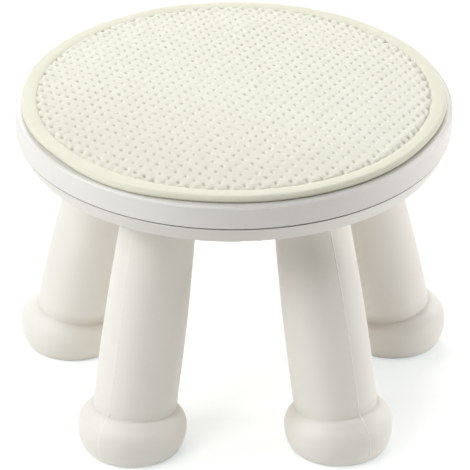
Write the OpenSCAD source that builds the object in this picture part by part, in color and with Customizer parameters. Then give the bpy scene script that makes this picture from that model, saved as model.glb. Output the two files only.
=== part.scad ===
/* [Seat] */
// Diameter of the seat
seat_d = 280; // [260:1:320]
// Height of the hard seat above the floor
seat_h = 199; // [180:1:230]
// Height of the upper shell's side, from the top plate to the parting line
shell_side_h = 15.2; // [14:0.2:24]
// Radius of the upper shell's rounded rim
rim_r = 2; // [1:0.5:4]
// Thickness of the top plate
plate_t = 3; // [2.4:0.1:4]
// Thickness of the upper shell's side wall
shell_wall = 2.8; // [2:0.1:3.6]
// Depth of the stiffening ribs under the top plate
shell_rib_h = 8; // [4:0.5:9]
// Thickness of every stiffening rib
rib_t = 1.6; // [1.2:0.1:2.4]
// Number of radial ribs in the shell, and again in the base pan
rib_count = 12; // [12, 24]

/* [Base pan] */
// Height of the base pan's side, below the parting line
pan_side_h = 13; // [10:0.5:18]
// How far the base pan's side draws in from its top edge to its floor
pan_draw_in = 6.2; // [3:0.2:9]
// Radius between the base pan's side and its floor
pan_corner_r = 3; // [1:0.5:5]
// Thickness of the base pan's floor
pan_floor_t = 2.6; // [2:0.1:3.6]
// Thickness of the base pan's side wall
pan_wall = 2.8; // [2:0.1:3.6]
// Height of the shadow gap at the parting line
parting_gap = 0.8; // [0.4:0.1:1.2]
// How far the base pan's edge stands back from the shell's side
parting_step = 0.2; // [0:0.1:1]
// Rounding of the base pan's top edge
pan_edge_round = 0.5; // [0.2:0.1:0.8]
// Height of the locating lip that stands up inside the shell
lip_h = 8; // [4:0.5:10]
// Height of the base pan's inner ribs above its floor
pan_rib_h = 12; // [8:0.5:13]

/* [Legs] */
// Angle of each front leg from straight ahead
front_leg_angle = 35.5; // [32:0.5:50]
// Angle of each rear leg from straight ahead
rear_leg_angle = 110; // [100:0.5:140]
// Distance of each foot's centre in from the seat's edge
foot_inset = 26; // [18:1:32]
// Lean of each leg towards the seat's axis
leg_tilt = 13; // [8:0.5:16]
// Greatest radius of the barrel-shaped shank
shank_r = 26.8; // [25.5:0.1:29]
// Radius of the shank at its shoulder, where it meets the seat
shoulder_r = 22.8; // [21.5:0.1:24.5]
// Distance up the shank, from the foot's centre, of its greatest radius
belly_at = 35; // [20:1:60]
// Wall of the hollow legs
leg_wall = 2.6; // [1.8:0.1:3.4]

/* [Feet] */
// Greatest radius of the bulbous foot
foot_r = 35; // [33.5:0.5:39]
// Height of the foot's greatest radius above the floor
foot_mid_h = 14.6; // [13:0.2:18]
// Radius of the foot's curve below its widest line
foot_low_curve_r = 25.6; // [22:0.2:28]
// Radius of the foot's curve above its widest line
foot_top_curve_r = 11.7; // [10.5:0.1:13]

/* [Leg sockets] */
// Radius of the neck that plugs into the seat
neck_r = 17; // [15:0.5:18]
// Length of the neck
neck_len = 24; // [18:0.5:24]
// Wall of the hollow neck
neck_wall = 2.4; // [1.8:0.1:3.2]
// Radial clearance between the neck and its socket
neck_clearance = 0.08; // [0.05:0.01:0.1]
// Wall of the socket
socket_wall = 3.2; // [2.8:0.1:4]
// Thickness of the socket's closed end
socket_cap_t = 2; // [1.5:0.1:2.5]
// How much wider the collar under the seat is than the shoulder
collar_margin = 2.7; // [1.5:0.1:4]
// How far the collar's short side stands below the seat's floor
collar_drop = 2; // [1:0.5:4]
// Width of the key that stops the leg from turning
key_w = 5; // [3:0.5:7]
// Height of the key above the neck
key_h = 1.5; // [1:0.1:1.6]
// Clearance round the key, and at the ends of the neck
key_clearance = 0.15; // [0.1:0.05:0.3]

/* [Foot pads] */
// Radius of the rubber pad under each foot
pad_r = 26; // [20:0.5:27]
// Depth of the recess that the pad sits in
pad_recess = 1.8; // [1.2:0.1:2.4]
// How far the pad stands below the foot
pad_proud = 1; // [0.5:0.1:1.5]
// Gap round the pad in its recess
pad_gap = 0.3; // [0.2:0.1:0.6]
// Radius of the plug's stem
plug_r = 4; // [3:0.5:6]
// Width of the plug's head beyond its stem
plug_barb = 1.4; // [0.8:0.1:2]
// Thickness of the plug's head
plug_head_h = 2; // [1.5:0.1:3]
// Number of tread grooves in the pad
tread_count = 3; // [2:1:4]
// Width of a tread groove
tread_w = 2; // [1:0.1:2.4]
// Depth of a tread groove
tread_depth = 0.9; // [0.4:0.1:1.2]

/* [Screws] */
// Number of screws near the seat's edge
outer_screws = 6; // [4, 6]
// Distance of the outer screws in from the seat's edge
outer_screw_inset = 20; // [17:1:24]
// Number of screws near the middle
inner_screws = 3; // [3]
// Distance of the inner screws from the seat's axis
inner_screw_ring = 36; // [32:1:40]
// Radius of the screw's shank
screw_r = 1.9; // [1.5:0.1:2.2]
// Radius of the screw's head
screw_head_r = 3.8; // [3:0.1:4.4]
// Thickness of the screw's head
screw_head_h = 2.4; // [1.8:0.1:3]
// Length of the screw below its head
screw_len = 14; // [10:0.5:16]
// Depth of the well that the screw's head sits in
well_depth = 6; // [4:0.5:7]
// Radius of the well
well_r = 5; // [4.6:0.1:6]
// Wall of the screw wells and bosses
boss_wall = 2.2; // [1.8:0.1:3]

/* [Mat] */
// How far the mat's edge stands in from the seat's edge
mat_margin = 4; // [3:0.5:12]
// Thickness of the mat at its edge
mat_edge_t = 4.8; // [4:0.2:8]
// Extra height of the mat's middle
mat_crown = 2; // [1:0.2:6]
// Width of the edge binding
binding_w = 10; // [6:0.5:12]
// Thickness of the knitted top
knit_t = 1.6; // [1:0.1:2]
// Thickness of the mat's backing
backing_t = 0.8; // [0.5:0.1:1.2]
// Gap between soft pieces and what lies beside them
soft_gap = 0.3; // [0.2:0.1:0.4]
// Number of hook and loop tabs
tab_count = 4; // [3:1:6]
// Distance of the tabs from the seat's axis
tab_ring = 95; // [60:1:105]
// Radius of a tab
tab_r = 11; // [8:0.5:13]
// Thickness of a hook tab
hook_t = 1; // [0.6:0.1:1.1]
// Thickness of a loop tab
loop_t = 0.7; // [0.5:0.1:0.8]

/* [Hidden] */
$fn = 96;
// Depth by which cutters run past the faces that they open
over = 1;

seat_r = seat_d / 2;
foot_ring_r = seat_r - foot_inset;
plate_under = seat_h - plate_t;
parting_h = seat_h - shell_side_h;
floor_h = parting_h - pan_side_h;
pan_inside_h = floor_h + pan_floor_t;
pan_rib_bottom = pan_inside_h - pan_floor_t / 4;
pan_rib_top = pan_inside_h + pan_rib_h;
pan_edge_h = parting_h - parting_gap;
pan_edge_r = seat_r - parting_step;
pan_floor_r = pan_edge_r - pan_draw_in;
pan_wall_foot_r = pan_floor_r - pan_wall;
pan_side_angle = atan2(pan_draw_in, pan_edge_h - floor_h);
lip_gap = 0.2;
lip_r = seat_r - shell_wall - lip_gap;
lip_inner_r = lip_r - pan_wall;
shell_rib_bottom = plate_under - shell_rib_h;
shell_rib_top = plate_under + plate_t / 4;
hub_r = 14;

collar_r = shoulder_r + collar_margin;
shoulder_h = floor_h - collar_drop - collar_r * sin(leg_tilt);
shank_len = (shoulder_h - foot_mid_h) / cos(leg_tilt);
socket_bore_r = neck_r + neck_clearance;
socket_r = socket_bore_r + socket_wall;
socket_len = neck_len + key_clearance + socket_cap_t;
socket_relief = 0.6;
pad_top_h = pad_proud + pad_recess;

boss_r = screw_r + boss_wall;
screw_clearance = 0.3;
thread_clearance = 0.05;
seat_on_screw = floor_h + well_depth;
well_top = seat_on_screw + pan_floor_t;
outer_screw_ring = seat_r - outer_screw_inset;
outer_screw_angles = [for (i = [0:outer_screws - 1]) i * 360 / outer_screws];
inner_screw_angles = [for (i = [0:inner_screws - 1]) 60 + i * 360 / inner_screws];

mat_bottom = seat_h + soft_gap;
mat_r = seat_r - mat_margin;
binding_inner_r = mat_r - binding_w;
field_r = binding_inner_r - soft_gap;
crown_steps = 10;
crown_power = 8;
tab_recess = hook_t + loop_t - soft_gap + 0.2;

white = [0.95, 0.945, 0.93];
cream = [0.94, 0.93, 0.86];

// Radius of the shank at a distance up its axis: greatest at the belly, falling off to the shoulder
function shank_radius(s) = shank_r - (shank_r - shoulder_r) * pow((s - belly_at) / (shank_len - belly_at), 2);

// Radii from the mat's seam to its middle, closer together near the seam
function crown_radii() = [for (i = [0:crown_steps]) field_r * cos(90 * i / crown_steps)];

// Half outline of the crowned mat's top, lowered by a depth: level in the middle, steep near the seam
function crown_line(depth) = [
    for (r = crown_radii()) [r, mat_bottom + mat_edge_t - depth + mat_crown * (1 - pow(r / field_r, crown_power))]
];

function backwards(list) = [for (i = [len(list) - 1:-1:0]) list[i]];

module at_angle(angle) {
    rotate([0, 0, angle]) children();
}

// The frame of a foot: its origin is on the floor, under the foot's centre
module at_foot(angle) {
    at_angle(angle) translate([0, -foot_ring_r, 0]) children();
}

// The frame of a leg's axis: its origin is the foot's centre, +Z runs up the leaning shank, -Y faces out
module at_leg_axis(angle) {
    at_foot(angle) translate([0, 0, foot_mid_h]) rotate([-leg_tilt, 0, 0]) children();
}

module for_each_leg() {
    for (angle = [-front_leg_angle, front_leg_angle, -rear_leg_angle, rear_leg_angle]) {
        at_leg_axis(angle) children();
    }
}

module for_each_screw() {
    for (angle = outer_screw_angles) {
        at_angle(angle) translate([0, -outer_screw_ring, 0]) children();
    }
    for (angle = inner_screw_angles) {
        at_angle(angle) translate([0, -inner_screw_ring, 0]) children();
    }
}

module for_each_tab() {
    for (i = [0:tab_count - 1]) {
        at_angle((i + 0.5) * 360 / tab_count) translate([0, -tab_ring, 0]) children();
    }
}

module ring(outer_r, inner_r, h) {
    difference() {
        cylinder(r = outer_r, h = h);
        translate([0, 0, -over]) cylinder(r = inner_r, h = h + 2 * over);
    }
}

// Upright ribs that run out from a hub, and the hub itself. The children are a rib's outline.
module rib_wheel(bottom, top, first_angle) {
    translate([0, 0, bottom]) ring(hub_r, hub_r - rib_t, top - bottom);
    for (i = [0:rib_count - 1]) {
        at_angle(first_angle + i * 360 / rib_count) rotate([90, 0, -90]) translate([0, 0, -rib_t / 2]) {
            linear_extrude(height = rib_t) children();
        }
    }
}

// ---- Upper shell ----

// Half section of the shell: a flat plate, a rounded rim and an upright side
module shell_section() {
    difference() {
        union() {
            translate([0, parting_h]) square([seat_r, shell_side_h - rim_r]);
            translate([0, parting_h]) square([seat_r - rim_r, shell_side_h]);
            translate([seat_r - rim_r, seat_h - rim_r]) circle(r = rim_r);
        }
        translate([0, parting_h - over]) square([seat_r - shell_wall, shell_side_h - plate_t + over]);
    }
}

// Space that a leg socket needs under the plate
module socket_space() {
    translate([0, 0, shank_len]) cylinder(r = socket_r + socket_relief, h = socket_len + socket_relief);
}

module shell_rib_outline() {
    translate([hub_r - rib_t / 2, shell_rib_bottom]) {
        square([lip_inner_r - lip_gap - hub_r + rib_t / 2, shell_rib_top - shell_rib_bottom]);
    }
}

module shell_ribs() {
    difference() {
        union() {
            rib_wheel(shell_rib_bottom, shell_rib_top, 0) shell_rib_outline();
            translate([0, 0, shell_rib_bottom]) ring(tab_ring, tab_ring - rib_t, shell_rib_top - shell_rib_bottom);
        }
        for_each_leg() socket_space();
    }
}

module seat_shell() {
    color(white) difference() {
        union() {
            rotate_extrude() shell_section();
            shell_ribs();
            for_each_screw() translate([0, 0, well_top]) cylinder(r = boss_r, h = plate_under - well_top + over);
        }
        for_each_screw() translate([0, 0, well_top - over]) {
            cylinder(r = screw_r + thread_clearance, h = screw_len - pan_floor_t + 2 * over);
        }
        for_each_tab() translate([0, 0, seat_h - tab_recess]) {
            cylinder(r = tab_r + soft_gap, h = tab_recess + over);
        }
    }
}

// ---- Base pan ----

// Half section of the pan: floor, drawn-in side, ledge at the parting line and the lip inside the shell
module pan_section() {
    corner_x = pan_edge_r + (sin(pan_side_angle) * (pan_corner_r - pan_edge_h + floor_h) - pan_corner_r)
        / cos(pan_side_angle);
    corner = [corner_x, floor_h + pan_corner_r];
    tangent = corner + pan_corner_r * [cos(pan_side_angle), -sin(pan_side_angle)];
    edge_x = pan_edge_r - pan_edge_round * (1 + sin(pan_side_angle)) / cos(pan_side_angle);
    edge = [edge_x, pan_edge_h - pan_edge_round];
    translate(corner) circle(r = pan_corner_r);
    translate(edge) circle(r = pan_edge_round);
    polygon([
        [0, floor_h],
        [corner_x, floor_h],
        tangent,
        edge + pan_edge_round * [cos(pan_side_angle), -sin(pan_side_angle)],
        [edge_x, pan_edge_h],
        [lip_r, pan_edge_h],
        [lip_r, pan_edge_h + lip_h],
        [lip_inner_r, pan_edge_h + lip_h],
        [lip_inner_r, pan_edge_h - parting_gap],
        [pan_wall_foot_r, pan_inside_h],
        [0, pan_inside_h]
    ]);
}

// Outline of a rib that runs out into the leaning side wall and the lip
module pan_rib_outline() {
    polygon([
        [hub_r - rib_t / 2, pan_rib_bottom],
        [pan_wall_foot_r + pan_wall / 4, pan_rib_bottom],
        [lip_inner_r + pan_wall / 4, pan_edge_h - parting_gap],
        [lip_inner_r + pan_wall / 4, pan_rib_top],
        [hub_r - rib_t / 2, pan_rib_top]
    ]);
}

// Collar under the seat that the leg's shoulder rests against
module collar() {
    intersection() {
        translate([0, 0, floor_h / 2]) {
            cylinder(r = seat_r, h = pan_inside_h - floor_h / 2);
        }
        for_each_leg() translate([0, 0, shank_len]) cylinder(r = collar_r, h = neck_len);
    }
}

// Bore and keyway of a leg socket
module socket_bore() {
    translate([0, 0, shank_len - over]) cylinder(r = socket_bore_r, h = neck_len + key_clearance + over);
    translate([-key_w / 2 - key_clearance, -neck_r - key_h - key_clearance, shank_len - over]) {
        cube([key_w + 2 * key_clearance, neck_r, neck_len + key_clearance + over]);
    }
}

module base_pan() {
    color(white) difference() {
        union() {
            rotate_extrude() pan_section();
            collar();
            for_each_leg() translate([0, 0, shank_len]) cylinder(r = socket_r, h = socket_len);
            for_each_screw() translate([0, 0, floor_h]) cylinder(r = well_r + boss_wall, h = well_top - floor_h);
            rib_wheel(pan_rib_bottom, pan_rib_top, 180 / rib_count) pan_rib_outline();
        }
        for_each_leg() socket_bore();
        for_each_screw() translate([0, 0, floor_h - over]) {
            cylinder(r = well_r, h = well_depth + over);
            cylinder(r = screw_r + screw_clearance, h = well_top - floor_h + 2 * over);
        }
    }
}

// ---- Screws ----

module screw() {
    slot_w = screw_head_r / 4;
    slot_len = screw_head_r * 1.1;
    difference() {
        translate([0, 0, -screw_head_h]) cylinder(r = screw_head_r, h = screw_head_h);
        translate([-slot_len / 2, -slot_w / 2, -screw_head_h - over]) cube([slot_len, slot_w, over + screw_head_h / 2]);
        translate([-slot_w / 2, -slot_len / 2, -screw_head_h - over]) cube([slot_w, slot_len, over + screw_head_h / 2]);
    }
    cylinder(r = screw_r, h = screw_len - screw_r);
    translate([0, 0, screw_len - screw_r]) cylinder(r1 = screw_r, r2 = screw_r / 4, h = screw_r);
}

module pan_screws() {
    color([0.72, 0.73, 0.75]) for_each_screw() translate([0, 0, seat_on_screw]) screw();
}

// ---- Legs ----

// Half outline of the onion-shaped foot, inset by a wall and cut off flat at a height
module foot_section(inset, bottom_h) {
    top_centre_r = foot_r - foot_top_curve_r;
    intersection() {
        translate([foot_r - foot_low_curve_r, foot_mid_h]) circle(r = foot_low_curve_r - inset);
        translate([0, bottom_h]) square([foot_r, foot_mid_h - bottom_h]);
    }
    intersection() {
        translate([top_centre_r, foot_mid_h]) circle(r = foot_top_curve_r - inset);
        translate([0, foot_mid_h]) square([foot_r, foot_top_curve_r]);
    }
    translate([0, foot_mid_h - rib_t / 2]) square([top_centre_r, foot_top_curve_r - inset + rib_t / 2]);
}

// Half outline of the shank, inset by a wall, up to a distance along its axis
module shank_section(inset, end) {
    steps = 10;
    polygon(concat(
        [[0, 0]],
        [for (i = [0:steps]) [shank_radius(end * i / steps) - inset, end * i / steps]],
        [[0, end]]
    ));
}

module leg(angle) {
    hollow_end = shank_len - leg_wall;
    color(white) difference() {
        union() {
            at_foot(angle) rotate_extrude() foot_section(0, pad_proud);
            at_leg_axis(angle) {
                rotate_extrude() shank_section(0, shank_len);
                translate([0, 0, hollow_end]) cylinder(r = neck_r, h = neck_len + leg_wall);
                translate([-key_w / 2, -neck_r - key_h, hollow_end]) cube([key_w, neck_r, neck_len + leg_wall]);
            }
        }
        at_foot(angle) {
            rotate_extrude() foot_section(leg_wall, pad_top_h + leg_wall);
            cylinder(r = pad_r + pad_gap, h = pad_top_h);
            cylinder(r = plug_r + pad_gap / 2, h = pad_top_h + leg_wall + over);
        }
        at_leg_axis(angle) {
            rotate_extrude() shank_section(leg_wall, hollow_end);
            translate([0, 0, hollow_end - over]) cylinder(r = neck_r - neck_wall, h = neck_len + leg_wall + 2 * over);
        }
    }
}

// ---- Foot pads ----

module foot_pad(angle) {
    tread_pitch = (pad_r - plug_r) / (tread_count + 0.5);
    head_h = pad_top_h + leg_wall;
    color([0.8, 0.79, 0.76]) at_foot(angle) {
        difference() {
            cylinder(r = pad_r, h = pad_top_h);
            for (i = [0:tread_count - 1]) {
                translate([0, 0, -over]) {
                    ring(plug_r + i * tread_pitch + tread_w, plug_r + i * tread_pitch, tread_depth + over);
                }
            }
        }
        cylinder(r = plug_r, h = head_h + plug_head_h);
        translate([0, 0, head_h]) cylinder(r1 = plug_r + plug_barb, r2 = plug_r, h = plug_head_h);
    }
}

// ---- Seat mat ----

module mat_knit_top() {
    color(cream) rotate_extrude() polygon(concat(crown_line(0), backwards(crown_line(knit_t))));
}

module mat_foam() {
    color([0.97, 0.96, 0.9]) rotate_extrude() {
        polygon(concat(
            [[0, mat_bottom + backing_t], [field_r, mat_bottom + backing_t]],
            crown_line(knit_t)
        ));
    }
}

module mat_binding() {
    half_t = mat_edge_t / 2;
    color(cream) rotate_extrude() {
        translate([mat_r - half_t, mat_bottom + half_t]) circle(r = half_t);
        translate([binding_inner_r, mat_bottom]) square([binding_w - half_t, mat_edge_t]);
    }
}

module mat_backing() {
    color([0.88, 0.87, 0.82]) translate([0, 0, mat_bottom]) cylinder(r = field_r, h = backing_t);
}

module loop_tabs() {
    color([0.9, 0.89, 0.85]) for_each_tab() translate([0, 0, mat_bottom - loop_t]) cylinder(r = tab_r, h = loop_t);
}

module hook_tabs() {
    color([0.85, 0.85, 0.84]) for_each_tab() translate([0, 0, seat_h - tab_recess]) cylinder(r = tab_r, h = hook_t);
}

seat_shell();
base_pan();
pan_screws();
leg(-front_leg_angle);  // leg_front_left
leg(front_leg_angle);  // leg_front_right
leg(-rear_leg_angle);  // leg_rear_left
leg(rear_leg_angle);  // leg_rear_right
foot_pad(-front_leg_angle);  // foot_pad_front_left
foot_pad(front_leg_angle);  // foot_pad_front_right
foot_pad(-rear_leg_angle);  // foot_pad_rear_left
foot_pad(rear_leg_angle);  // foot_pad_rear_right
mat_knit_top();
mat_foam();
mat_binding();
mat_backing();
loop_tabs();
hook_tabs();
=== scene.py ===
import math

import bmesh
import bpy
import numpy as np
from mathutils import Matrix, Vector
from mathutils.bvhtree import BVHTree

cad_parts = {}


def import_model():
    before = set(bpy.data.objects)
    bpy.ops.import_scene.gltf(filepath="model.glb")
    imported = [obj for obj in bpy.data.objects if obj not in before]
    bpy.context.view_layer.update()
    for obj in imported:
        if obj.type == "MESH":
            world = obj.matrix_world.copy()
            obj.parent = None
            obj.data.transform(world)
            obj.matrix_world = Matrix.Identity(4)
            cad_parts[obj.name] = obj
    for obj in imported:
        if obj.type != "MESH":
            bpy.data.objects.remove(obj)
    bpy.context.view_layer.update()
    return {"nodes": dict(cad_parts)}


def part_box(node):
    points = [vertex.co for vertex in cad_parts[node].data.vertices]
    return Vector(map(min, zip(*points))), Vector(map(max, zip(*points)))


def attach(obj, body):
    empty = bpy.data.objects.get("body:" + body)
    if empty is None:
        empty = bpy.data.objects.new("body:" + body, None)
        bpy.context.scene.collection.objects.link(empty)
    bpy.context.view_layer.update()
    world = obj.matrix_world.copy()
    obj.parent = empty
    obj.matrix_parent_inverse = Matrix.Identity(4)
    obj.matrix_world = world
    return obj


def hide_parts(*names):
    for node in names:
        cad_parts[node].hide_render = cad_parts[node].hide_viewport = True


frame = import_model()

nodes = frame["nodes"]
LEGS = ("front_left", "front_right", "rear_left", "rear_right")


def mm(value):
    return value / 1000


# ---------------------------------------------------------------- measures, in metres

# The mat's layers and edge, from their nodes
knit_high = Vector(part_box("mat_knit_top")[1])
foam_low, foam_high = (Vector(c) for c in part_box("mat_foam"))
edge_low, edge_high = (Vector(c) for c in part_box("mat_binding"))
back_low, back_high = (Vector(c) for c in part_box("mat_backing"))
FIELD_R = knit_high.x                   # where the knit meets its binding
MAT_R = (edge_high.x - edge_low.x) / 2  # outer radius of the mat
EDGE_T = edge_high.z - edge_low.z       # thickness of the mat's edge
KNIT_T = knit_high.z - foam_high.z
REACH = FIELD_R + mm(3)                 # the lattice is worked out this far from the middle

# The foam
FOAM_MESH = mm(6)          # distance between its rings of points
FOAM_RISE = mm(1.1)        # it starts this much below its level, which leaves it room to swell
FOAM_GIVE = mm(1.15)       # the most a point moves as it swells
SWELL_FRAMES = 20

# The dimples of the knit stand in two sets of rows: the distance between a set's rows, and the way they face
ROWS = ((mm(6.87), math.radians(-33)), (mm(6.68), math.radians(52.6)))
LATTICE = tuple((math.cos(turn) / pitch, math.sin(turn) / pitch) for pitch, turn in ROWS)   # cycles per metre
HOLE_WIDE, HOLE_LONG = mm(0.78), mm(1.1)    # half widths of a dimple's hole
HOLE_DEPTH = mm(1.2)
HOLE_LEAN = math.radians(11)                # the holes lie a little off the y axis
HOLE_SCATTER = mm(0.6)
PUFF, SEAM_PUFF = mm(0.16), mm(1.25)        # rise of the knit between dimples, and how much more at the seam
SEAM_BAND = mm(9)                           # the knit changes over this width along its seam
STITCHES = 7                                # fine stitches from one row of dimples to the next
KNIT_FINE = 9                               # steps of the knit's mesh from one row to the next
KNIT_CROWD = 0.4                            # how strongly those steps crowd round the dimples
PLACE_STEPS = 14                            # steps in which a place is found from its lattice coordinates

# Where the tape bulges past its circle or falls short of it: azimuth, half width, amount
TAPE_BULGES = ((-121, 15, 2.6), (-145, 10, -1.0), (-27, 12, -0.6))
TAPE_AROUND, TAPE_CROWN, TAPE_TURN = 540, 12, 12    # steps round the mat, across the tape's top, round its edge

STITCH_COUNT, STITCH_R = 270, mm(0.2)       # lockstitches in the seam, and the radius of their thread
DOT_PITCH, DOT_CLEAR = mm(6), mm(13.5)      # anti-slip dots, and how far they stay from the middle of a tab

# The legs
LEG_TILT = math.radians(13)
FOOT_MID = mm(14.6)      # height of the foot's widest line
SHANK_R = mm(26.8)
CREASE_H = mm(10.6)      # height of the crease above the foot's widest line
CREASE_RISE = mm(1.9)    # how far that crease is lifted along the leg's axis, at the axis
CREASE_LEAN = 0.12       # and how much more for each metre out from it
CREASE_SHADE_LEAN = 0.04  # the painted shade round the crease leans this much more than the lifted crease
MOULD_STEPS = 170        # points along a mould line
MOULD_OFF = mm(1.3)      # the mould's parting plane lies this far beside the leg's axis
MOULD_TURN = 0.022       # and higher up than MOULD_BEND it turns away from the axis
MOULD_BEND = mm(90)
# Section of a mould line, across and up, in millimetres
MOULD_SECTION = ((-0.6, -0.12), (-0.28, 0.18), (0, 0.3), (0.28, 0.18), (0.6, -0.12))

FLOOR_GLOW = 0.17        # brightest part of the floor's own light


# ---------------------------------------------------------------- material helpers

class Nodes:
    """Short calls for adding nodes to a node tree. A value is a number, a colour or another node's output."""

    def __init__(self, tree):
        self.tree = tree

    def node(self, kind, **settings):
        n = self.tree.nodes.new(kind)
        for key, value in settings.items():
            setattr(n, key, value)
        return n

    def put(self, value, socket):
        if isinstance(value, bpy.types.NodeSocket):
            self.tree.links.new(value, socket)
        elif isinstance(value, tuple):
            socket.default_value = (*value, 1)
        else:
            socket.default_value = value

    def add(self, kind, values, out=0, **settings):
        """Add a node, fill its input sockets, and return one of its outputs."""
        n = self.node(kind, **settings)
        for socket, value in values.items():
            self.put(value, n.inputs[socket])
        return n.outputs[out]

    def math(self, operation, a, b=None):
        return self.add("ShaderNodeMath", {0: a} if b is None else {0: a, 1: b}, operation=operation)

    def product(self, first, *others):
        for other in others:
            first = self.math("MULTIPLY", first, other)
        return first

    def total(self, *parts):
        """The sum of (value, weight) parts."""
        first, *others = (self.product(value, weight) if weight != 1 else value for value, weight in parts)
        for other in others:
            first = self.math("ADD", first, other)
        return first

    def spread(self, value, low, high, from_low=0, from_high=1, ease="LINEAR"):
        """Low to high, as the value goes from from_low to from_high."""
        values = {0: value, 1: from_low, 2: from_high, 3: low, 4: high}
        return self.add("ShaderNodeMapRange", values, interpolation_type=ease)

    def mix(self, factor, a, b, blend="MIX"):
        return self.add("ShaderNodeMix", {0: factor, 6: a, 7: b}, out=2, data_type="RGBA", blend_type=blend)

    def length(self, vector):
        return self.add("ShaderNodeVectorMath", {0: vector}, out="Value", operation="LENGTH")

    def seen(self):
        """1 for rays that see the background: from the camera, off gloss and through glass."""
        path = self.node("ShaderNodeLightPath")
        camera_or_gloss = self.math("MAXIMUM", path.outputs["Is Camera Ray"], path.outputs["Is Glossy Ray"])
        return self.math("MAXIMUM", camera_or_gloss, path.outputs["Is Transmission Ray"])


class Mat(Nodes):
    """A material with a Principled shader."""

    def __init__(self, name, color, rough, spec=0.5):
        self.material = bpy.data.materials.new(name)
        self.material.use_nodes = True
        super().__init__(self.material.node_tree)
        self.shader = self.tree.nodes["Principled BSDF"]
        self.set("Base Color", color)
        self.set("Roughness", rough)
        self.set("Specular IOR Level", spec)
        self.coords = self.node("ShaderNodeTexCoord").outputs["Object"]

    def set(self, socket, value):
        self.put(value, self.shader.inputs[socket])

    def xyz(self, vector=None):
        """The three parts of a vector, or of the place on the object."""
        n = self.node("ShaderNodeSeparateXYZ")
        self.put(vector or self.coords, n.inputs[0])
        return n.outputs

    def attribute(self, name, out):
        return self.add("ShaderNodeAttribute", {}, out=out, attribute_name=name, attribute_type="GEOMETRY")

    def noise(self, scale, detail=3, rough=0.5):
        values = {"Scale": scale, "Detail": detail, "Roughness": rough, "Vector": self.coords}
        return self.add("ShaderNodeTexNoise", values, out="Fac")

    def bump(self, height, distance, strength=1.0, after=None):
        values = {"Strength": strength, "Distance": distance, "Height": height}
        if after:
            values["Normal"] = after
        self.set("Normal", self.add("ShaderNodeBump", values))


def wear(node, material):
    """Give a CAD node that stays in sight its material."""
    mesh = nodes[node].data
    mesh.materials.clear()
    mesh.materials.append(material)
    for p in mesh.polygons:
        p.material_index = 0


def points_of(mesh):
    return np.array([v.co[:] for v in mesh.vertices])


# ---------------------------------------------------------------- plastic, rubber and metal

def plastic(name, color, rough, painted_shade=None, softened=0, shade_colour=(0.14, 0.125, 0.11)):
    """Moulded plastic with a fine satin grain, painted shade where the given mask says, and creases softened as if
    filleted.
    """
    m = Mat(name, color, rough)
    clean = m.mix(m.noise(14, 2), tuple(c * 0.985 for c in color), tuple(min(1, c * 1.012) for c in color))
    # painted shade: the base colour is mixed towards a dark shade colour by the given mask
    m.set("Base Color", m.mix(painted_shade(m), clean, shade_colour) if painted_shade else clean)
    m.set("Roughness", m.spread(m.noise(60, 4), rough - 0.04, rough + 0.05))
    fillet = m.add("ShaderNodeBevel", {"Radius": softened}, samples=6) if softened else None
    m.bump(m.noise(900, 2), mm(0.04), 0.5, after=fillet)
    return m.material


def joint_place():
    """The line between shell and pan: its lowest and highest point, and the radius of the wall there."""
    shell, pan = points_of(nodes["seat_shell"].data), points_of(nodes["base_pan"].data)
    shell_r, pan_r = (np.hypot(places[:, 0], places[:, 1]) for places in (shell, pan))
    wall = float(shell_r.max())
    top = float(shell[:, 2][shell_r > wall - mm(0.3)].min())
    bottom = float(pan[:, 2][pan_r > wall - mm(1.2)].max())
    return bottom, top, wall


def seat_painted_shade(m):
    """Painted shade on the seat: deep in the line between shell and pan, and on the rim by the mat's edge, which
    shades it.
    """
    bottom, top, wall = joint_place()
    x, y, z = m.xyz()
    r = m.length(m.add("ShaderNodeCombineXYZ", {0: x, 1: y}))
    deep = m.spread(r, 1, 0, wall - mm(0.75), wall - mm(0.35))
    under = m.spread(z, 0, 1, bottom - mm(0.35), bottom - mm(0.1))
    over = m.spread(z, 1, 0, top + mm(0.1), top + mm(0.35))
    # painted shade deep in the narrow gap between shell and pan
    joint = m.product(under, over, deep)
    # painted shade of the mat's edge on the rim, unevenly grey
    rim = m.product(m.spread(r, 1, 0, MAT_R + mm(0.5), wall), m.spread(z, 0, 1, top + mm(11), top + mm(15)))
    grey = m.product(rim, m.spread(m.noise(45, 2), 0.14, 0.24, 0.3, 0.7))
    return m.math("MAXIMUM", m.product(joint, 0.93), grey)


def leg_painted_shade(m):
    """Painted warm shade round the crease above each foot, mostly on its inner side."""
    out, up, front = m.xyz(m.attribute("crease", "Vector"))
    level = m.product(m.spread(up, 1, 0, 0, mm(8)), m.spread(up, 0, 1, -mm(18), 0))
    return m.product(level, m.spread(out, 1, 0, 0, mm(12)), m.spread(front, 0.4, 0.06, -mm(22), mm(8)))


def rubber():
    m = Mat("pad_rubber", (0.60, 0.595, 0.57), 0.72, 0.35)
    grain = m.noise(420, 3)
    m.set("Base Color", m.mix(grain, (0.56, 0.555, 0.53), (0.63, 0.625, 0.60)))
    m.bump(grain, mm(0.08), 0.6)
    return m.material


def steel():
    m = Mat("screw_steel", (0.62, 0.63, 0.64), 0.32)
    m.set("Metallic", 1.0)
    m.set("Roughness", m.spread(m.noise(900, 3), 0.25, 0.42))
    return m.material


# ---------------------------------------------------------------- fabrics

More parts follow.
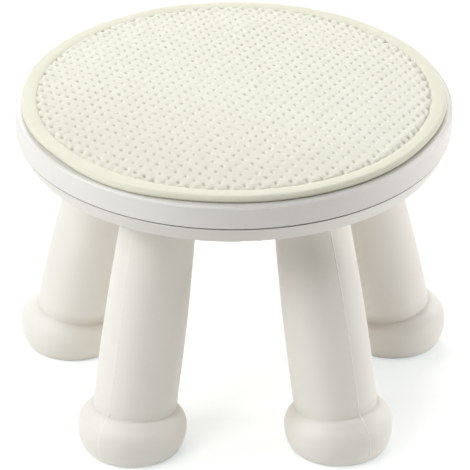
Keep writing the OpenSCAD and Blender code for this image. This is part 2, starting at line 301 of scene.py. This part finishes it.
def knit_fabric():
    """Knitted top: pale loops, greyer inside the dimples, where the lower layer shows and shade is painted in,
    with a soft nap.
    """
    m = Mat("knit_fabric", (0.88, 0.88, 0.79), 0.92, 0.25)
    m.set("Sheen Weight", 0.25)
    m.set("Sheen Roughness", 0.5)
    hole = m.spread(m.attribute("dimple", "Fac"), 0, 1, 0.25, 0.95)
    tone = m.mix(m.noise(35, 3), (0.88, 0.877, 0.765), (0.905, 0.90, 0.80))
    loops = m.noise(1700, 3, 0.7)
    yarn = m.mix(m.spread(loops, 0, 1, 0.32, 0.68), (0.785, 0.78, 0.66), (0.975, 0.965, 0.865))
    x, y, _ = m.xyz()
    # the front left part is a little darker and yellower: partly wear where feet and hands meet it most, partly
    # painted shade
    used = m.spread(m.total((x, -0.5), (y, -0.85)), 0, 1, mm(10), mm(95))
    cloth = m.mix(used, m.mix(0.5, tone, yarn), (0.93, 0.92, 0.905), "MULTIPLY")
    # inside the dimples the colour turns dark grey: partly the lower layer showing through, partly painted shade
    # in the pits
    m.set("Base Color", m.mix(m.product(hole, 0.5), cloth, (0.42, 0.425, 0.31)))
    across, along = (m.product(m.total((x, a), (y, b)), STITCHES) for a, b in LATTICE)
    chevron = m.product(m.math("PINGPONG", along, 0.5), 0.7)
    stitch = m.math("SINE", m.product(m.math("ADD", across, chevron), 2 * math.pi))
    rows = m.math("SINE", m.product(along, 2 * math.pi))
    m.bump(m.total((stitch, 0.35), (rows, 0.25), (loops, 1)), mm(0.28), 0.45)
    return m.material


def tape_fabric():
    """Edge tape: a close weave with fine ribs that run across it."""
    m = Mat("binding_fabric", (0.86, 0.855, 0.75), 0.85, 0.3)
    m.set("Sheen Weight", 0.2)
    m.set("Sheen Roughness", 0.45)
    x, y, _ = m.xyz()
    ribs = m.math("SINE", m.product(m.math("ARCTAN2", y, x), 900))
    weave = m.noise(2200, 2)
    m.set("Base Color", m.mix(m.noise(28, 3), (0.825, 0.815, 0.675), (0.87, 0.855, 0.72)))
    m.bump(m.total((weave, 1), (m.noise(160, 3), 1), (ribs, 0.4)), mm(0.12), 0.6)
    return m.material


def plain_fabric(name, color, rough, scale, depth):
    m = Mat(name, color, rough, 0.25)
    grain = m.noise(scale, 3)
    m.set("Base Color", m.mix(grain, tuple(k * 0.93 for k in color), tuple(min(1, k * 1.04) for k in color)))
    m.bump(grain, depth, 0.7)
    return m.material


def hook_tape():
    """Hook side of the fastener: rows of tiny stiff hooks."""
    m = Mat("hook_tape", (0.80, 0.80, 0.76), 0.5)
    values = {"Scale": 900, "Randomness": 0.25, "Vector": m.coords}
    tips = m.spread(m.add("ShaderNodeTexVoronoi", values, out="Distance"), 1, 0, 0.1, 0.6)
    m.set("Base Color", m.mix(tips, (0.66, 0.66, 0.62), (0.86, 0.86, 0.82)))
    m.bump(tips, mm(0.5), 0.8)
    return m.material


# ---------------------------------------------------------------- mesh helpers

def new_object(name, mesh, body, material, *replaced):
    obj = bpy.data.objects.new(name, mesh)
    bpy.context.scene.collection.objects.link(obj)
    mesh.materials.append(material)
    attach(obj, body)
    if replaced:
        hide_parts(*replaced)
    return obj


def built(name, verts, faces):
    """A smooth-shaded mesh with its faces all turned outwards."""
    mesh = bpy.data.meshes.new(name)
    mesh.from_pydata([tuple(v) for v in verts], [], faces)
    mesh.validate()
    bm = bmesh.new()
    bm.from_mesh(mesh)
    bmesh.ops.recalc_face_normals(bm, faces=bm.faces)
    bm.to_mesh(mesh)
    bm.free()
    for p in mesh.polygons:
        p.use_smooth = True
    return mesh


def add_ring(verts, count, r, z, x=0, y=0):
    """Add a level ring of points, and return the number of its first point."""
    start = len(verts)
    turn = 2 * math.pi / count
    verts.extend((x + r * math.cos(k * turn), y + r * math.sin(k * turn), z) for k in range(count))
    return start


def join_rings(faces, count, a, b):
    faces.extend((a + k, a + (k + 1) % count, b + (k + 1) % count, b + k) for k in range(count))


def close_ring(verts, faces, count, start, z):
    """Close a ring with a fan of triangles round a point on the mat's axis."""
    middle = len(verts)
    verts.append((0, 0, z))
    faces.extend((middle, start + (k + 1) % count, start + k) for k in range(count))


def ripple(angle, terms):
    """A fixed, irregular wave round the mat: a sum of (count, size, phase) sines of the angle."""
    return sum(size * np.sin(count * angle + phase) for count, size, phase in terms)


# ---------------------------------------------------------------- the mat's foam

def foam_core():
    """The foam: a closed round pad that swells in a short cloth simulation. Returns a tree of its faces."""
    radius = FIELD_R - mm(0.4)
    low, rim, top = foam_low.z + mm(0.05), foam_low.z + mm(2.2), foam_high.z - FOAM_RISE
    rings = round(radius / FOAM_MESH)
    count = 6 * rings
    verts, faces = [], []
    over = [add_ring(verts, count, radius * i / rings, top - (top - rim) * (i / rings) ** 10)
            for i in range(1, rings + 1)]
    for a, b in zip(over, over[1:]):
        join_rings(faces, count, a, b)
    under = [add_ring(verts, count, radius * share, low) for share in (1, 0.5)]
    join_rings(faces, count, over[-1], under[0])
    join_rings(faces, count, under[0], under[1])
    close_ring(verts, faces, count, over[0], top)
    close_ring(verts, faces, count, under[1], low)
    mesh = built("mat_foam_core", verts, faces)
    core = new_object("mat_foam_core", mesh, "mat", foam_mat, "mat_foam")
    places = points_of(mesh)
    held = places[:, 2] < rim + mm(0.05)
    places += swelling(core, [int(k) for k in np.flatnonzero(held)])
    mesh.vertices.foreach_set("co", places.ravel())
    mesh.update()
    smooth = core.modifiers.new("smooth", "SUBSURF")
    smooth.levels = smooth.render_levels = 1
    return BVHTree.FromPolygons([Vector(p) for p in places], [tuple(p.vertices) for p in mesh.polygons])


def swelling(core, held):
    """How far each point of the foam moves in a cloth simulation under pressure from inside."""
    group = core.vertex_groups.new(name="held")
    group.add(held, 1.0, "REPLACE")
    cloth = core.modifiers.new("swell", "CLOTH")
    s = cloth.settings
    s.vertex_group_mass = "held"
    s.quality = 6
    s.mass = 0.15
    s.use_pressure = True
    s.uniform_pressure_force = 4
    s.effector_weights.gravity = 0
    scene = bpy.context.scene
    for step in range(1, SWELL_FRAMES + 1):
        scene.frame_set(step)
    posed = core.evaluated_get(bpy.context.evaluated_depsgraph_get()).to_mesh()
    moved = points_of(posed) - points_of(core.data)
    core.modifiers.remove(cloth)
    core.vertex_groups.remove(group)
    scene.frame_set(1)
    length = np.linalg.norm(moved, axis=1)
    return moved * np.minimum(1, FOAM_GIVE / np.maximum(length, 1e-9))[:, None]


# ---------------------------------------------------------------- the mat's knit

def stretch(x, y):
    """How far the knit is pulled off its even lattice, in cycles, as it is sewn in by hand."""
    p, q = x / 0.1, y / 0.1
    return 0.8 + 0.5 * p * q - 0.2 * p * p - 0.7 * q * q, 0.8 + 0.3 * q + 0.4 * p * q + 0.3 * p * p + q * q


def lattice(x, y):
    """A point's place in the two sets of rows. A dimple lies where both are whole numbers."""
    (a, b), (c, d) = LATTICE
    du, dv = stretch(x, y)
    return a * x + b * y + du, c * x + d * y + dv


def off_lattice(u, v):
    """The place at which the lattice has the coordinates (u, v), found by stepping towards it."""
    (a, b), (c, d) = LATTICE
    det = a * d - b * c
    x, y = np.zeros_like(u), np.zeros_like(u)
    for _ in range(PLACE_STEPS):
        du, dv = stretch(np.clip(x, -REACH, REACH), np.clip(y, -REACH, REACH))
        x, y = (d * (u - du) - b * (v - dv)) / det, (a * (v - dv) - c * (u - du)) / det
    return x, y


def shuffle(i, j, seed):
    """A fixed number from 0 to 1 for each dimple."""
    return np.modf(np.abs(np.sin(i * 12.9898 + j * 78.233 + seed * 37.719)) * 43758.5453)[0]


def near_seam(x, y):
    """0 over the field of the knit, rising to 1 at the seam."""
    return np.clip((np.hypot(x, y) - (FIELD_R - SEAM_BAND)) / SEAM_BAND, 0, 1)


def dimples(x, y):
    """How far each point lies in the nearest dimple (0 to 1), that dimple's strength, and the lattice."""
    u, v = lattice(x, y)
    i, j = np.round(u), np.round(v)
    cx, cy = off_lattice(i, j)
    dx = x - cx - (shuffle(i, j, 1) - 0.5) * HOLE_SCATTER
    dy = y - cy - (shuffle(i, j, 2) - 0.5) * HOLE_SCATTER
    lean = HOLE_LEAN + (shuffle(i, j, 3) - 0.5) * 0.5
    across = dx * np.cos(lean) + dy * np.sin(lean)
    along = dy * np.cos(lean) - dx * np.sin(lean)
    near = near_seam(x, y)
    wide, long = HOLE_WIDE * (1 + 0.3 * near), HOLE_LONG * (1 + 0.5 * near)
    depth = np.exp(-((across / wide) ** 2 + (along / long) ** 2))
    return depth, 0.7 + 0.5 * shuffle(i, j, 4) + 0.45 * near, u, v


def knit_relief(x, y):
    """Height of the knit over its mean level: pits at the dimples, puffs between them that grow near the seam,
    small lumps and slow swells."""
    pit, strength, u, v = dimples(x, y)
    near = near_seam(x, y)
    puff = 0.5 - 0.25 * (np.cos(2 * np.pi * u) + np.cos(2 * np.pi * v))
    lumps = np.sin(x * 1100 + 1.3 * np.sin(y * 760)) * np.sin(y * 930 + 1.1 * np.sin(x * 840))
    swell = np.sin(x * 47 + 0.6) * np.sin(y * 39 + 1.9) + 0.6 * np.sin(x * 23 - y * 31 + 0.4)
    raised = (PUFF + SEAM_PUFF * near ** 1.3) * puff ** 0.7
    return raised - HOLE_DEPTH * strength * (1 + 0.2 * near) * pit + mm(0.06) * lumps + mm(0.09) * swell


def knit_level(x, y, foam):
    """The knit's level over the foam, rolled down into the seam at its rim."""
    r = np.hypot(x, y)
    pull = np.minimum(1, (FIELD_R - mm(1.5)) / np.maximum(r, 1e-9))
    down = Vector((0, 0, -1))
    z = np.array([foam.ray_cast(Vector((px, py, 1)), down)[0].z for px, py in zip(x * pull, y * pull)])
    roll = np.clip((r - (FIELD_R - mm(6))) / mm(6), 0, 1)
    angle = np.arctan2(y, x)
    front = 0.5 - 0.5 * np.sin(angle)
    uneven = ripple(angle, ((31, mm(0.10), 0.4), (47, mm(0.12), 2.2), (83, mm(0.08), 1.1)))
    return z + KNIT_T - mm(0.35) - (mm(0.7) + mm(0.65) * front + uneven) * roll ** 2


def knit_grid(edge_r):
    """Points on the lattice's own lines, as x and y, and the quads between them that lie inside the edge."""
    turn = np.linspace(0, 2 * np.pi, 90)
    ends = lattice(REACH * np.cos(turn), REACH * np.sin(turn))
    lines = []
    for end in ends:
        low, high = math.floor(end.min()), math.ceil(end.max())
        steps = np.arange(low * KNIT_FINE, high * KNIT_FINE + 1) / KNIT_FINE
        lines.append(steps - KNIT_CROWD / (2 * np.pi) * np.sin(2 * np.pi * steps))
    x, y = off_lattice(*np.meshgrid(*lines, indexing="ij"))
    inside = np.hypot(x, y) < edge_r - mm(0.25)
    cell = inside[:-1, :-1] & inside[1:, :-1] & inside[1:, 1:] & inside[:-1, 1:]
    used = np.zeros_like(inside)
    for a, b in ((0, 0), (1, 0), (1, 1), (0, 1)):
        used[a:a + cell.shape[0], b:b + cell.shape[1]] |= cell
    index = np.full(inside.shape, -1)
    index[used] = np.arange(used.sum())
    corners = (index[:-1, :-1], index[1:, :-1], index[1:, 1:], index[:-1, 1:])
    return x[used], y[used], np.stack([corner[cell] for corner in corners], axis=1)


def outline(quads):
    """The points round the outside of a patch of quads, in order."""
    edges = {}
    for q in quads:
        for k in range(4):
            a, b = int(q[k]), int(q[(k + 1) % 4])
            if edges.pop((b, a), None) is None:
                edges[(a, b)] = True
    follow = {a: b for a, b in edges}
    loop = [next(iter(follow))]
    while follow[loop[-1]] != loop[0]:
        loop.append(follow[loop[-1]])
    return np.array(loop)


def knit_top(foam):
    """The knit: a fine relief on top, pulled to a circle at its rim, and closed by a plain lower face."""
    edge_r = FIELD_R + mm(0.35)
    x, y, quads = knit_grid(edge_r)
    rim = outline(quads)
    to_circle = edge_r / np.hypot(x[rim], y[rim])
    x[rim] *= to_circle
    y[rim] *= to_circle
    rows = [np.stack([x, y, knit_level(x, y, foam) + knit_relief(x, y)], axis=1)]
    faces = [tuple(int(k) for k in q) for q in quads]
    previous, total, count = rim, len(x), len(rim)
    for share in (1.0, 0.985, 0.95, 0.85, 0.6, 0.3):
        bx, by = x[rim] * share, y[rim] * share
        rows.append(np.stack([bx, by, knit_level(bx, by, foam) - KNIT_T + mm(0.45)], axis=1))
        current = np.arange(total, total + count)
        for k in range(count):
            n = (k + 1) % count
            faces.append((int(previous[n]), int(previous[k]), int(current[k]), int(current[n])))
        previous, total = current, total + count
    rows.append(np.array([[0, 0, float(rows[-1][:, 2].mean())]]))
    faces.extend((int(previous[(k + 1) % count]), int(previous[k]), total) for k in range(count))
    mesh = built("mat_knit", np.concatenate(rows), faces)
    places = points_of(mesh)
    # how deep each point lies in a dimple, by which the knit's colour is darkened, partly as painted shade
    pit, strength, _, _ = dimples(places[:, 0], places[:, 1])
    shade = mesh.attributes.new("dimple", "FLOAT", "POINT")
    shade.data.foreach_set("value", (pit * strength).astype(np.float32))
    new_object("mat_knit", mesh, "mat", knit_mat, "mat_knit_top")


# ---------------------------------------------------------------- the mat's edge and underside

def tape_profile(middle, half, inner, flat_end):
    """The tape's section as (radius, height, share of the seam's puckers, share of the outer edge's waves)."""
    profile = [(inner + mm(0.2), edge_low.z + mm(0.5), 0, 0), (inner, middle, 0, 0)]
    for k in range(TAPE_CROWN + 1):
        t = k / TAPE_CROWN
        lip = mm(0.85) * (1 - t) ** 5
        level = edge_high.z + mm(0.1) * math.sin(math.pi * t) - lip
        profile.append((inner + (flat_end - inner) * t, level, (1 - t) ** 2, t))
    for k in range(1, TAPE_TURN):
        a = math.pi * (0.5 - k / TAPE_TURN)
        profile.append((flat_end + half * math.cos(a), middle + half * math.sin(a), 0, 1))
    return profile + [(flat_end, edge_low.z, 0, 1), (inner + mm(1), edge_low.z, 0, 0)]


def binding():
    """The tape round the mat's edge: one rounded profile swept round, with small puckers at the seam."""
    half = EDGE_T / 2
    middle = edge_low.z + half
    profile = tape_profile(middle, half, FIELD_R + mm(0.25), MAT_R - half)
    angle = np.linspace(0, 2 * np.pi, TAPE_AROUND, endpoint=False)
    pucker = ripple(angle, ((97, mm(0.10), 0.3), (131, mm(0.11), 1.7),
                            (163, mm(0.08), 4.1), (59, mm(0.07), 2.9)))
    wave = ripple(angle, ((7, mm(0.10), 0.8), (13, mm(0.09), 2.0), (29, mm(0.07), 5.2)))
    bulge = ripple(angle, ((5, mm(0.15), 1.1), (9, mm(0.12), 3.0)))
    for azimuth, width, amount in TAPE_BULGES:
        off = (np.degrees(angle) - azimuth + 180) % 360 - 180
        bulge = bulge + mm(amount) * np.exp(-(off / width) ** 2)
    verts, faces = [], []
    for k in range(TAPE_AROUND):
        c, s = math.cos(angle[k]), math.sin(angle[k])
        for r, z, seam, out in profile:
            r = r + bulge[k] * out
            z = z + pucker[k] * seam + wave[k] * out * (z > middle)
            verts.append((r * c, r * s, z))
    size = len(profile)
    for k in range(TAPE_AROUND):
        n = (k + 1) % TAPE_AROUND
        for p in range(size):
            q = (p + 1) % size
            faces.append((k * size + p, n * size + p, n * size + q, k * size + q))
    new_object("mat_edge_tape", built("mat_edge_tape", verts, faces), "mat", tape_mat, "mat_binding")


def tab_centres():
    """The middles of the fastener tabs, one on each diagonal."""
    places = points_of(nodes["loop_tabs"].data)
    one = places[(places[:, 0] > 0) & (places[:, 1] > 0)][:, 0]
    far = float(one.max() + one.min()) / 2
    return [Vector((sx * far, sy * far)) for sx in (-1, 1) for sy in (-1, 1)]


def dot_places(reach):
    """Staggered rows of anti-slip dots under the mat, clear of the fastener tabs."""
    tabs = tab_centres()
    rows = int(reach / DOT_PITCH)
    places = []
    for i in range(-rows, rows + 1):
        for j in range(-rows, rows + 1):
            x, y = (j + 0.5 * (i % 2)) * DOT_PITCH, i * DOT_PITCH
            if math.hypot(x, y) < reach and all((Vector((x, y)) - t).length > DOT_CLEAR for t in tabs):
                places.append((x, y))
    return places


def backing():
    """The non-slip sheet under the mat, with rows of small raised dots."""
    radius, low, high = FIELD_R + mm(0.2), back_low.z, back_high.z
    count, shares, sides = 240, (1.0, 0.75, 0.5, 0.25), 6
    verts, faces = [], []
    starts = [add_ring(verts, count, radius * share, high) for share in reversed(shares)]
    starts += [add_ring(verts, count, radius * share, low) for share in shares]
    for a, b in zip(starts, starts[1:]):
        join_rings(faces, count, a, b)
    close_ring(verts, faces, count, starts[0], high)
    close_ring(verts, faces, count, starts[-1], low)
    for x, y in dot_places(radius - mm(4)):
        base = add_ring(verts, sides, mm(1.1), low, x, y)
        tip = add_ring(verts, sides, mm(0.7), low - mm(0.2), x, y)
        faces.extend((base + (k + 1) % sides, base + k, tip + k, tip + (k + 1) % sides) for k in range(sides))
        faces.append(tuple(tip + k for k in reversed(range(sides))))
    mesh = built("mat_base_sheet", verts, faces)
    sheet = new_object("mat_base_sheet", mesh, "mat", backing_mat, "mat_backing")


def stitches():
    """Lockstitches in the ditch beside the tape."""
    radius, sides, rings = FIELD_R + mm(0.75), 6, 5
    pitch = 2 * math.pi / STITCH_COUNT
    verts, faces = [], []
    for k in range(STITCH_COUNT):
        start = len(verts)
        for i in range(rings):
            t = i / (rings - 1)
            a = (k + 0.08 + 0.8 * t) * pitch
            swell = math.sin(math.pi * (0.12 + 0.76 * t))
            level = edge_high.z - mm(0.78) + mm(0.22) * swell
            for s in range(sides):
                b = 2 * math.pi * s / sides
                r = radius + STITCH_R * swell * math.cos(b)
                verts.append((r * math.cos(a), r * math.sin(a), level + STITCH_R * swell * math.sin(b)))
        for i in range(rings - 1):
            low, high = start + i * sides, start + (i + 1) * sides
            for s in range(sides):
                n = (s + 1) % sides
                faces.append((low + s, high + s, high + n, low + n))
        faces.append(tuple(start + s for s in range(sides)))
        faces.append(tuple(start + (rings - 1) * sides + s for s in reversed(range(sides))))
    seam = new_object("mat_seam_stitches", built("mat_seam_stitches", verts, faces), "mat", thread_mat)


# ---------------------------------------------------------------- legs

def foot_place(leg):
    """The point on the floor under a foot's centre."""
    low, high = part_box("foot_pad_" + leg)
    return Vector(((low[0] + high[0]) / 2, (low[1] + high[1]) / 2, 0))


def ramp(values, start, end):
    """0 up to start and 1 from end on, both in millimetres, with a smooth rise between them."""
    t = np.clip((values - mm(start)) / mm(end - start), 0, 1)
    return t * t * (3 - 2 * t)


def moulded_leg(leg):
    """A copy of the leg, with the top of its foot leaning so that the crease lies square to the leg's axis."""
    mesh = nodes["leg_" + leg].data.copy()
    mesh.materials.clear()
    base = foot_place(leg)
    out, up = np.array(base.normalized()), np.array((0, 0, 1.0))
    centre = np.array(base) + np.array((0, 0, FOOT_MID))
    axis = math.cos(LEG_TILT) * up - math.sin(LEG_TILT) * out
    front = math.cos(LEG_TILT) * out + math.sin(LEG_TILT) * up
    places = points_of(mesh)
    normals = np.array([n.vector[:] for n in mesh.corner_normals])
    owner = np.array([loop.vertex_index for loop in mesh.loops])

    def spans(points):
        """Each point's place from the foot's centre, and its distance from the leg's axis."""
        off = points - centre
        return off, np.linalg.norm(off - np.outer(off @ axis, axis), axis=1)

    def lift(points):
        """How far each point moves along the axis. The sole and the neck stay where they are."""
        off, apart = spans(points)
        height = off[:, 2]
        share = ramp(height, -5, 10.5) * (1 - ramp(height, 13, 75)) * (1 - 0.55 * ramp(apart, 27.5, 32))
        return (CREASE_RISE + CREASE_LEAN * (off @ front)) * share

    # the coordinates of the painted crease shade: outside the shank, above the crease, and towards the leg's outer
    # side
    off, apart = spans(places)
    forward = off @ front
    above = off[:, 2] - CREASE_H - CREASE_SHADE_LEAN * forward
    crease = mesh.attributes.new("crease", "FLOAT_VECTOR", "POINT")
    crease.data.foreach_set("vector", np.stack([apart - SHANK_R, above, forward], axis=1).ravel())

    # the normals turn with the slope of the lift, which is measured over a short step each way
    step = mm(0.05)
    slopes = [(lift(places + step * way) - lift(places - step * way)) / (2 * step) for way in np.eye(3)]
    rise = np.stack(slopes, axis=1)[owner]
    normals -= rise * ((normals @ axis) / (1 + rise @ axis))[:, None]
    normals /= np.linalg.norm(normals, axis=1)[:, None]
    places += np.outer(lift(places), axis)
    mesh.vertices.foreach_set("co", places.ravel())
    mesh.update()
    mesh.normals_split_custom_set([tuple(n) for n in normals])
    piece = new_object("moulded_leg_" + leg, mesh, "leg_" + leg, leg_white, "leg_" + leg)
    for p in mesh.polygons:
        p.material_index = 0
    return piece


def mould_line_points(tree, base, out, side, sign):
    """Points and normals down one side of a leg, where its mould parts. Near the foot the rays come from above."""
    bottom, top = mm(2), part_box("base_pan")[0][2] - mm(1)
    low_turn, turned_to, turned_over = math.radians(40), mm(16), mm(60)
    points = []
    for i in range(MOULD_STEPS + 1):
        z = bottom + (top - bottom) * i / MOULD_STEPS
        turn = low_turn * (z / turned_to if z < turned_to else max(0, 1 - (z - turned_to) / turned_over))
        arm = out * (sign * math.cos(turn)) + Vector((0, 0, math.sin(turn)))
        beside = side * (-MOULD_OFF - MOULD_TURN * max(0, z - MOULD_BEND))
        middle = base - out * (z * math.tan(LEG_TILT)) + beside
        hit, normal, _, _ = tree.ray_cast(Vector((middle.x, middle.y, z)) + arm * mm(90), -arm)
        if hit:
            points.append((hit, normal))
    return points


def mould_lines(leg, obj):
    """The fine raised line that a two-part mould leaves on the outer and inner side of a leg."""
    base = foot_place(leg)
    out = base.normalized()
    side = Vector((-out.y, out.x, 0))
    mesh = obj.data
    tree = BVHTree.FromPolygons([v.co for v in mesh.vertices], [tuple(p.vertices) for p in mesh.polygons])
    crest = 1 if leg == "front_right" else 0.5      # the line stands highest on the front right leg
    size = len(MOULD_SECTION)
    verts, faces = [], []
    for sign in (1, -1):
        points = mould_line_points(tree, base, out, side, sign)
        first = len(verts)
        for hit, normal in points:
            for across, up in MOULD_SECTION:
                verts.append(hit + side * mm(across) + normal * mm(up * crest if up > 0 else up))
        for a in range(first, first + (len(points) - 1) * size, size):
            faces.extend((a + k, a + k + 1, a + k + 1 + size, a + k + size) for k in range(size - 1))
            faces.append((a, a + size, a + 2 * size - 1, a + size - 1))
    line = new_object("mould_line_" + leg, built("mould_line_" + leg, verts, faces), "leg_" + leg, flash_highlight_white)


# ---------------------------------------------------------------- stage, lights and camera

def stage_floor():
    """A wide pale floor just under the feet."""
    half, level = 30, mm(-0.1)
    corners = ((-half, -half), (half, -half), (half, half), (-half, half))
    mesh = bpy.data.meshes.new("floor")
    mesh.from_pydata([(x, y, level) for x, y in corners], [], [(0, 1, 2, 3)])
    floor = bpy.data.objects.new("floor", mesh)
    bpy.context.scene.collection.objects.link(floor)
    m = Mat("floor_white", (0.81, 0.775, 0.735), 0.9, 0.1)
    seen = m.seen()
    geometry = m.node("ShaderNodeNewGeometry")
    away = m.length(geometry.outputs["Position"])
    # it glows a little in a ring near the stool, which lights the underside of the feet
    ring = m.spread(away, 0, FLOOR_GLOW, 0.1, 0.15, "SMOOTHSTEP")
    ring = m.spread(away, ring, 0, 0.18, 0.28, "SMOOTHSTEP")
    m.set("Emission Color", (0.82, 0.94, 1))
    m.set("Emission Strength", m.add("ShaderNodeMix", {0: seen, 2: ring, 3: 0}))
    # seen from above it lets some of the white behind it through, and a leg that is pulled down stays in sight
    plain = m.shader.outputs[0]
    behind = m.add("ShaderNodeBsdfTransparent", {"Color": (0.344, 0.395, 0.42)})
    veil = m.add("ShaderNodeAddShader", {0: plain, 1: behind})
    surface = m.add("ShaderNodeMixShader", {0: seen, 1: plain, 2: veil})
    # far from the stool it turns into the plain white background, so that a low view has no dark horizon
    fade = m.spread(away, 0, seen, 0.5, 1.6, "SMOOTHSTEP")
    far = m.add("ShaderNodeMixShader", {0: fade, 1: surface, 2: m.add("ShaderNodeEmission", {})})
    # seen from below it is clear, so that the underside of the stool shows
    clear = m.add("ShaderNodeBsdfTransparent", {})
    two_sided = m.add("ShaderNodeMixShader", {0: geometry.outputs["Backfacing"], 1: far, 2: clear})
    m.put(two_sided, m.tree.nodes["Material Output"].inputs[0])
    mesh.materials.append(m.material)


def world():
    """A dim warm fill for the stool, and plain white for the rays that see the background."""
    w = bpy.data.worlds.new("studio")
    bpy.context.scene.world = w
    w.use_nodes = True
    w.node_tree.nodes.clear()
    n = Nodes(w.node_tree)
    fill = n.add("ShaderNodeBackground", {0: (1.0, 0.93, 0.89), 1: 0.06})
    white = n.add("ShaderNodeBackground", {0: (1, 1, 1), 1: 1.0})
    both = n.add("ShaderNodeMixShader", {0: n.seen(), 1: fill, 2: white})
    n.put(both, n.node("ShaderNodeOutputWorld").inputs[0])


def lamp(name, azimuth, elevation, size, watts, color=(1, 1, 1), reach=2.2, aim=(0, 0, 0.12)):
    """A square soft box that faces the stool. Azimuth 0 is in front of it and 90 on its right."""
    data = bpy.data.lights.new(name, "AREA")
    data.shape = "SQUARE"
    data.size = size
    data.energy = watts
    data.color = color
    turn, lift = math.radians(azimuth), math.radians(elevation)
    away = Vector((math.cos(lift) * math.sin(turn), -math.cos(lift) * math.cos(turn), math.sin(lift)))
    obj = bpy.data.objects.new(name, data)
    obj.location = Vector(aim) + reach * away
    obj.rotation_euler = away.to_track_quat("Z", "Y").to_euler()
    bpy.context.scene.collection.objects.link(obj)


def camera():
    """A long lens that looks down on the stool from just left of its front."""
    pitch, turn = math.radians(29.481), math.radians(0.659)
    distance, height = 2.2479, 1.3715
    data = bpy.data.cameras.new("camera")
    data.lens = 303.435
    data.sensor_width = 36
    data.clip_start, data.clip_end = 0.05, 100
    data.shift_x = 0.0027234
    cam = bpy.data.objects.new("camera", data)
    cam.location = (-distance * math.sin(turn), -distance * math.cos(turn), height)
    aim = Vector((math.sin(turn) * math.cos(pitch), math.cos(turn) * math.cos(pitch), -math.sin(pitch)))
    cam.rotation_mode = "QUATERNION"
    cam.rotation_quaternion = aim.to_track_quat("-Z", "Y")
    bpy.context.scene.collection.objects.link(cam)
    bpy.context.scene.camera = cam


# ---------------------------------------------------------------- the scene

# the legs' plastic, with painted warm shade round the crease above each foot
leg_white = plastic("leg_plastic", (0.875, 0.85, 0.80), 0.46, leg_painted_shade,
                    softened=mm(3), shade_colour=(0.30, 0.20, 0.08))
# the mould line's plastic is lighter than the leg's: a painted highlight along the line
flash_highlight_white = plastic("mould_flash_highlight", (0.93, 0.905, 0.86), 0.42)
knit_mat = knit_fabric()
tape_mat = tape_fabric()
foam_mat = plain_fabric("foam", (0.83, 0.82, 0.74), 0.95, 700, mm(0.4))
backing_mat = plain_fabric("backing", (0.70, 0.69, 0.64), 0.8, 500, mm(0.2))
thread_mat = plain_fabric("thread", (0.80, 0.795, 0.68), 0.7, 2500, mm(0.1))
# the seat's plastic, with painted shade in the shell-pan gap and on the rim beside the mat
seat_white = plastic("seat_plastic", (0.86, 0.84, 0.81), 0.36, seat_painted_shade)
wear("seat_shell", seat_white)
wear("base_pan", seat_white)
wear("pan_screws", steel())
wear("loop_tabs", plain_fabric("loop_tape", (0.84, 0.84, 0.80), 0.95, 1400, mm(0.5)))
wear("hook_tabs", hook_tape())
pad_rubber = rubber()
for leg in LEGS:
    wear("foot_pad_" + leg, pad_rubber)

knit_top(foam_core())
binding()
backing()
stitches()
for leg in LEGS:
    mould_lines(leg, moulded_leg(leg))

stage_floor()
world()
camera()
lamp("key_left", 310, 42, 1.1, 18.2, (0.965, 1.0, 1.0))
lamp("side_left", 260, 42, 1.1, 5.9)
lamp("low_left", 279, 26, 0.8, 11.6, (0.97, 1.0, 1.0))
lamp("top_front", 0, 70, 1.1, 7.6, (0.98, 1.0, 1.0))
lamp("back", 180, 42, 1.1, 18.0)
lamp("back_right", 150, 42, 1.1, 3.5, (1.0, 0.93, 0.9))
lamp("back_low", 187, 14, 0.8, 6.6, (1.0, 0.88, 0.8))
lamp("right_low", 120, 18, 0.8, 11.3)
lamp("right", 80, 26, 0.8, 2.6)
lamp("rim_right", 80, 3, 0.4, 1.85, reach=0.8, aim=(0, 0, 0.06))
bpy.context.scene.view_settings.view_transform = "Standard"
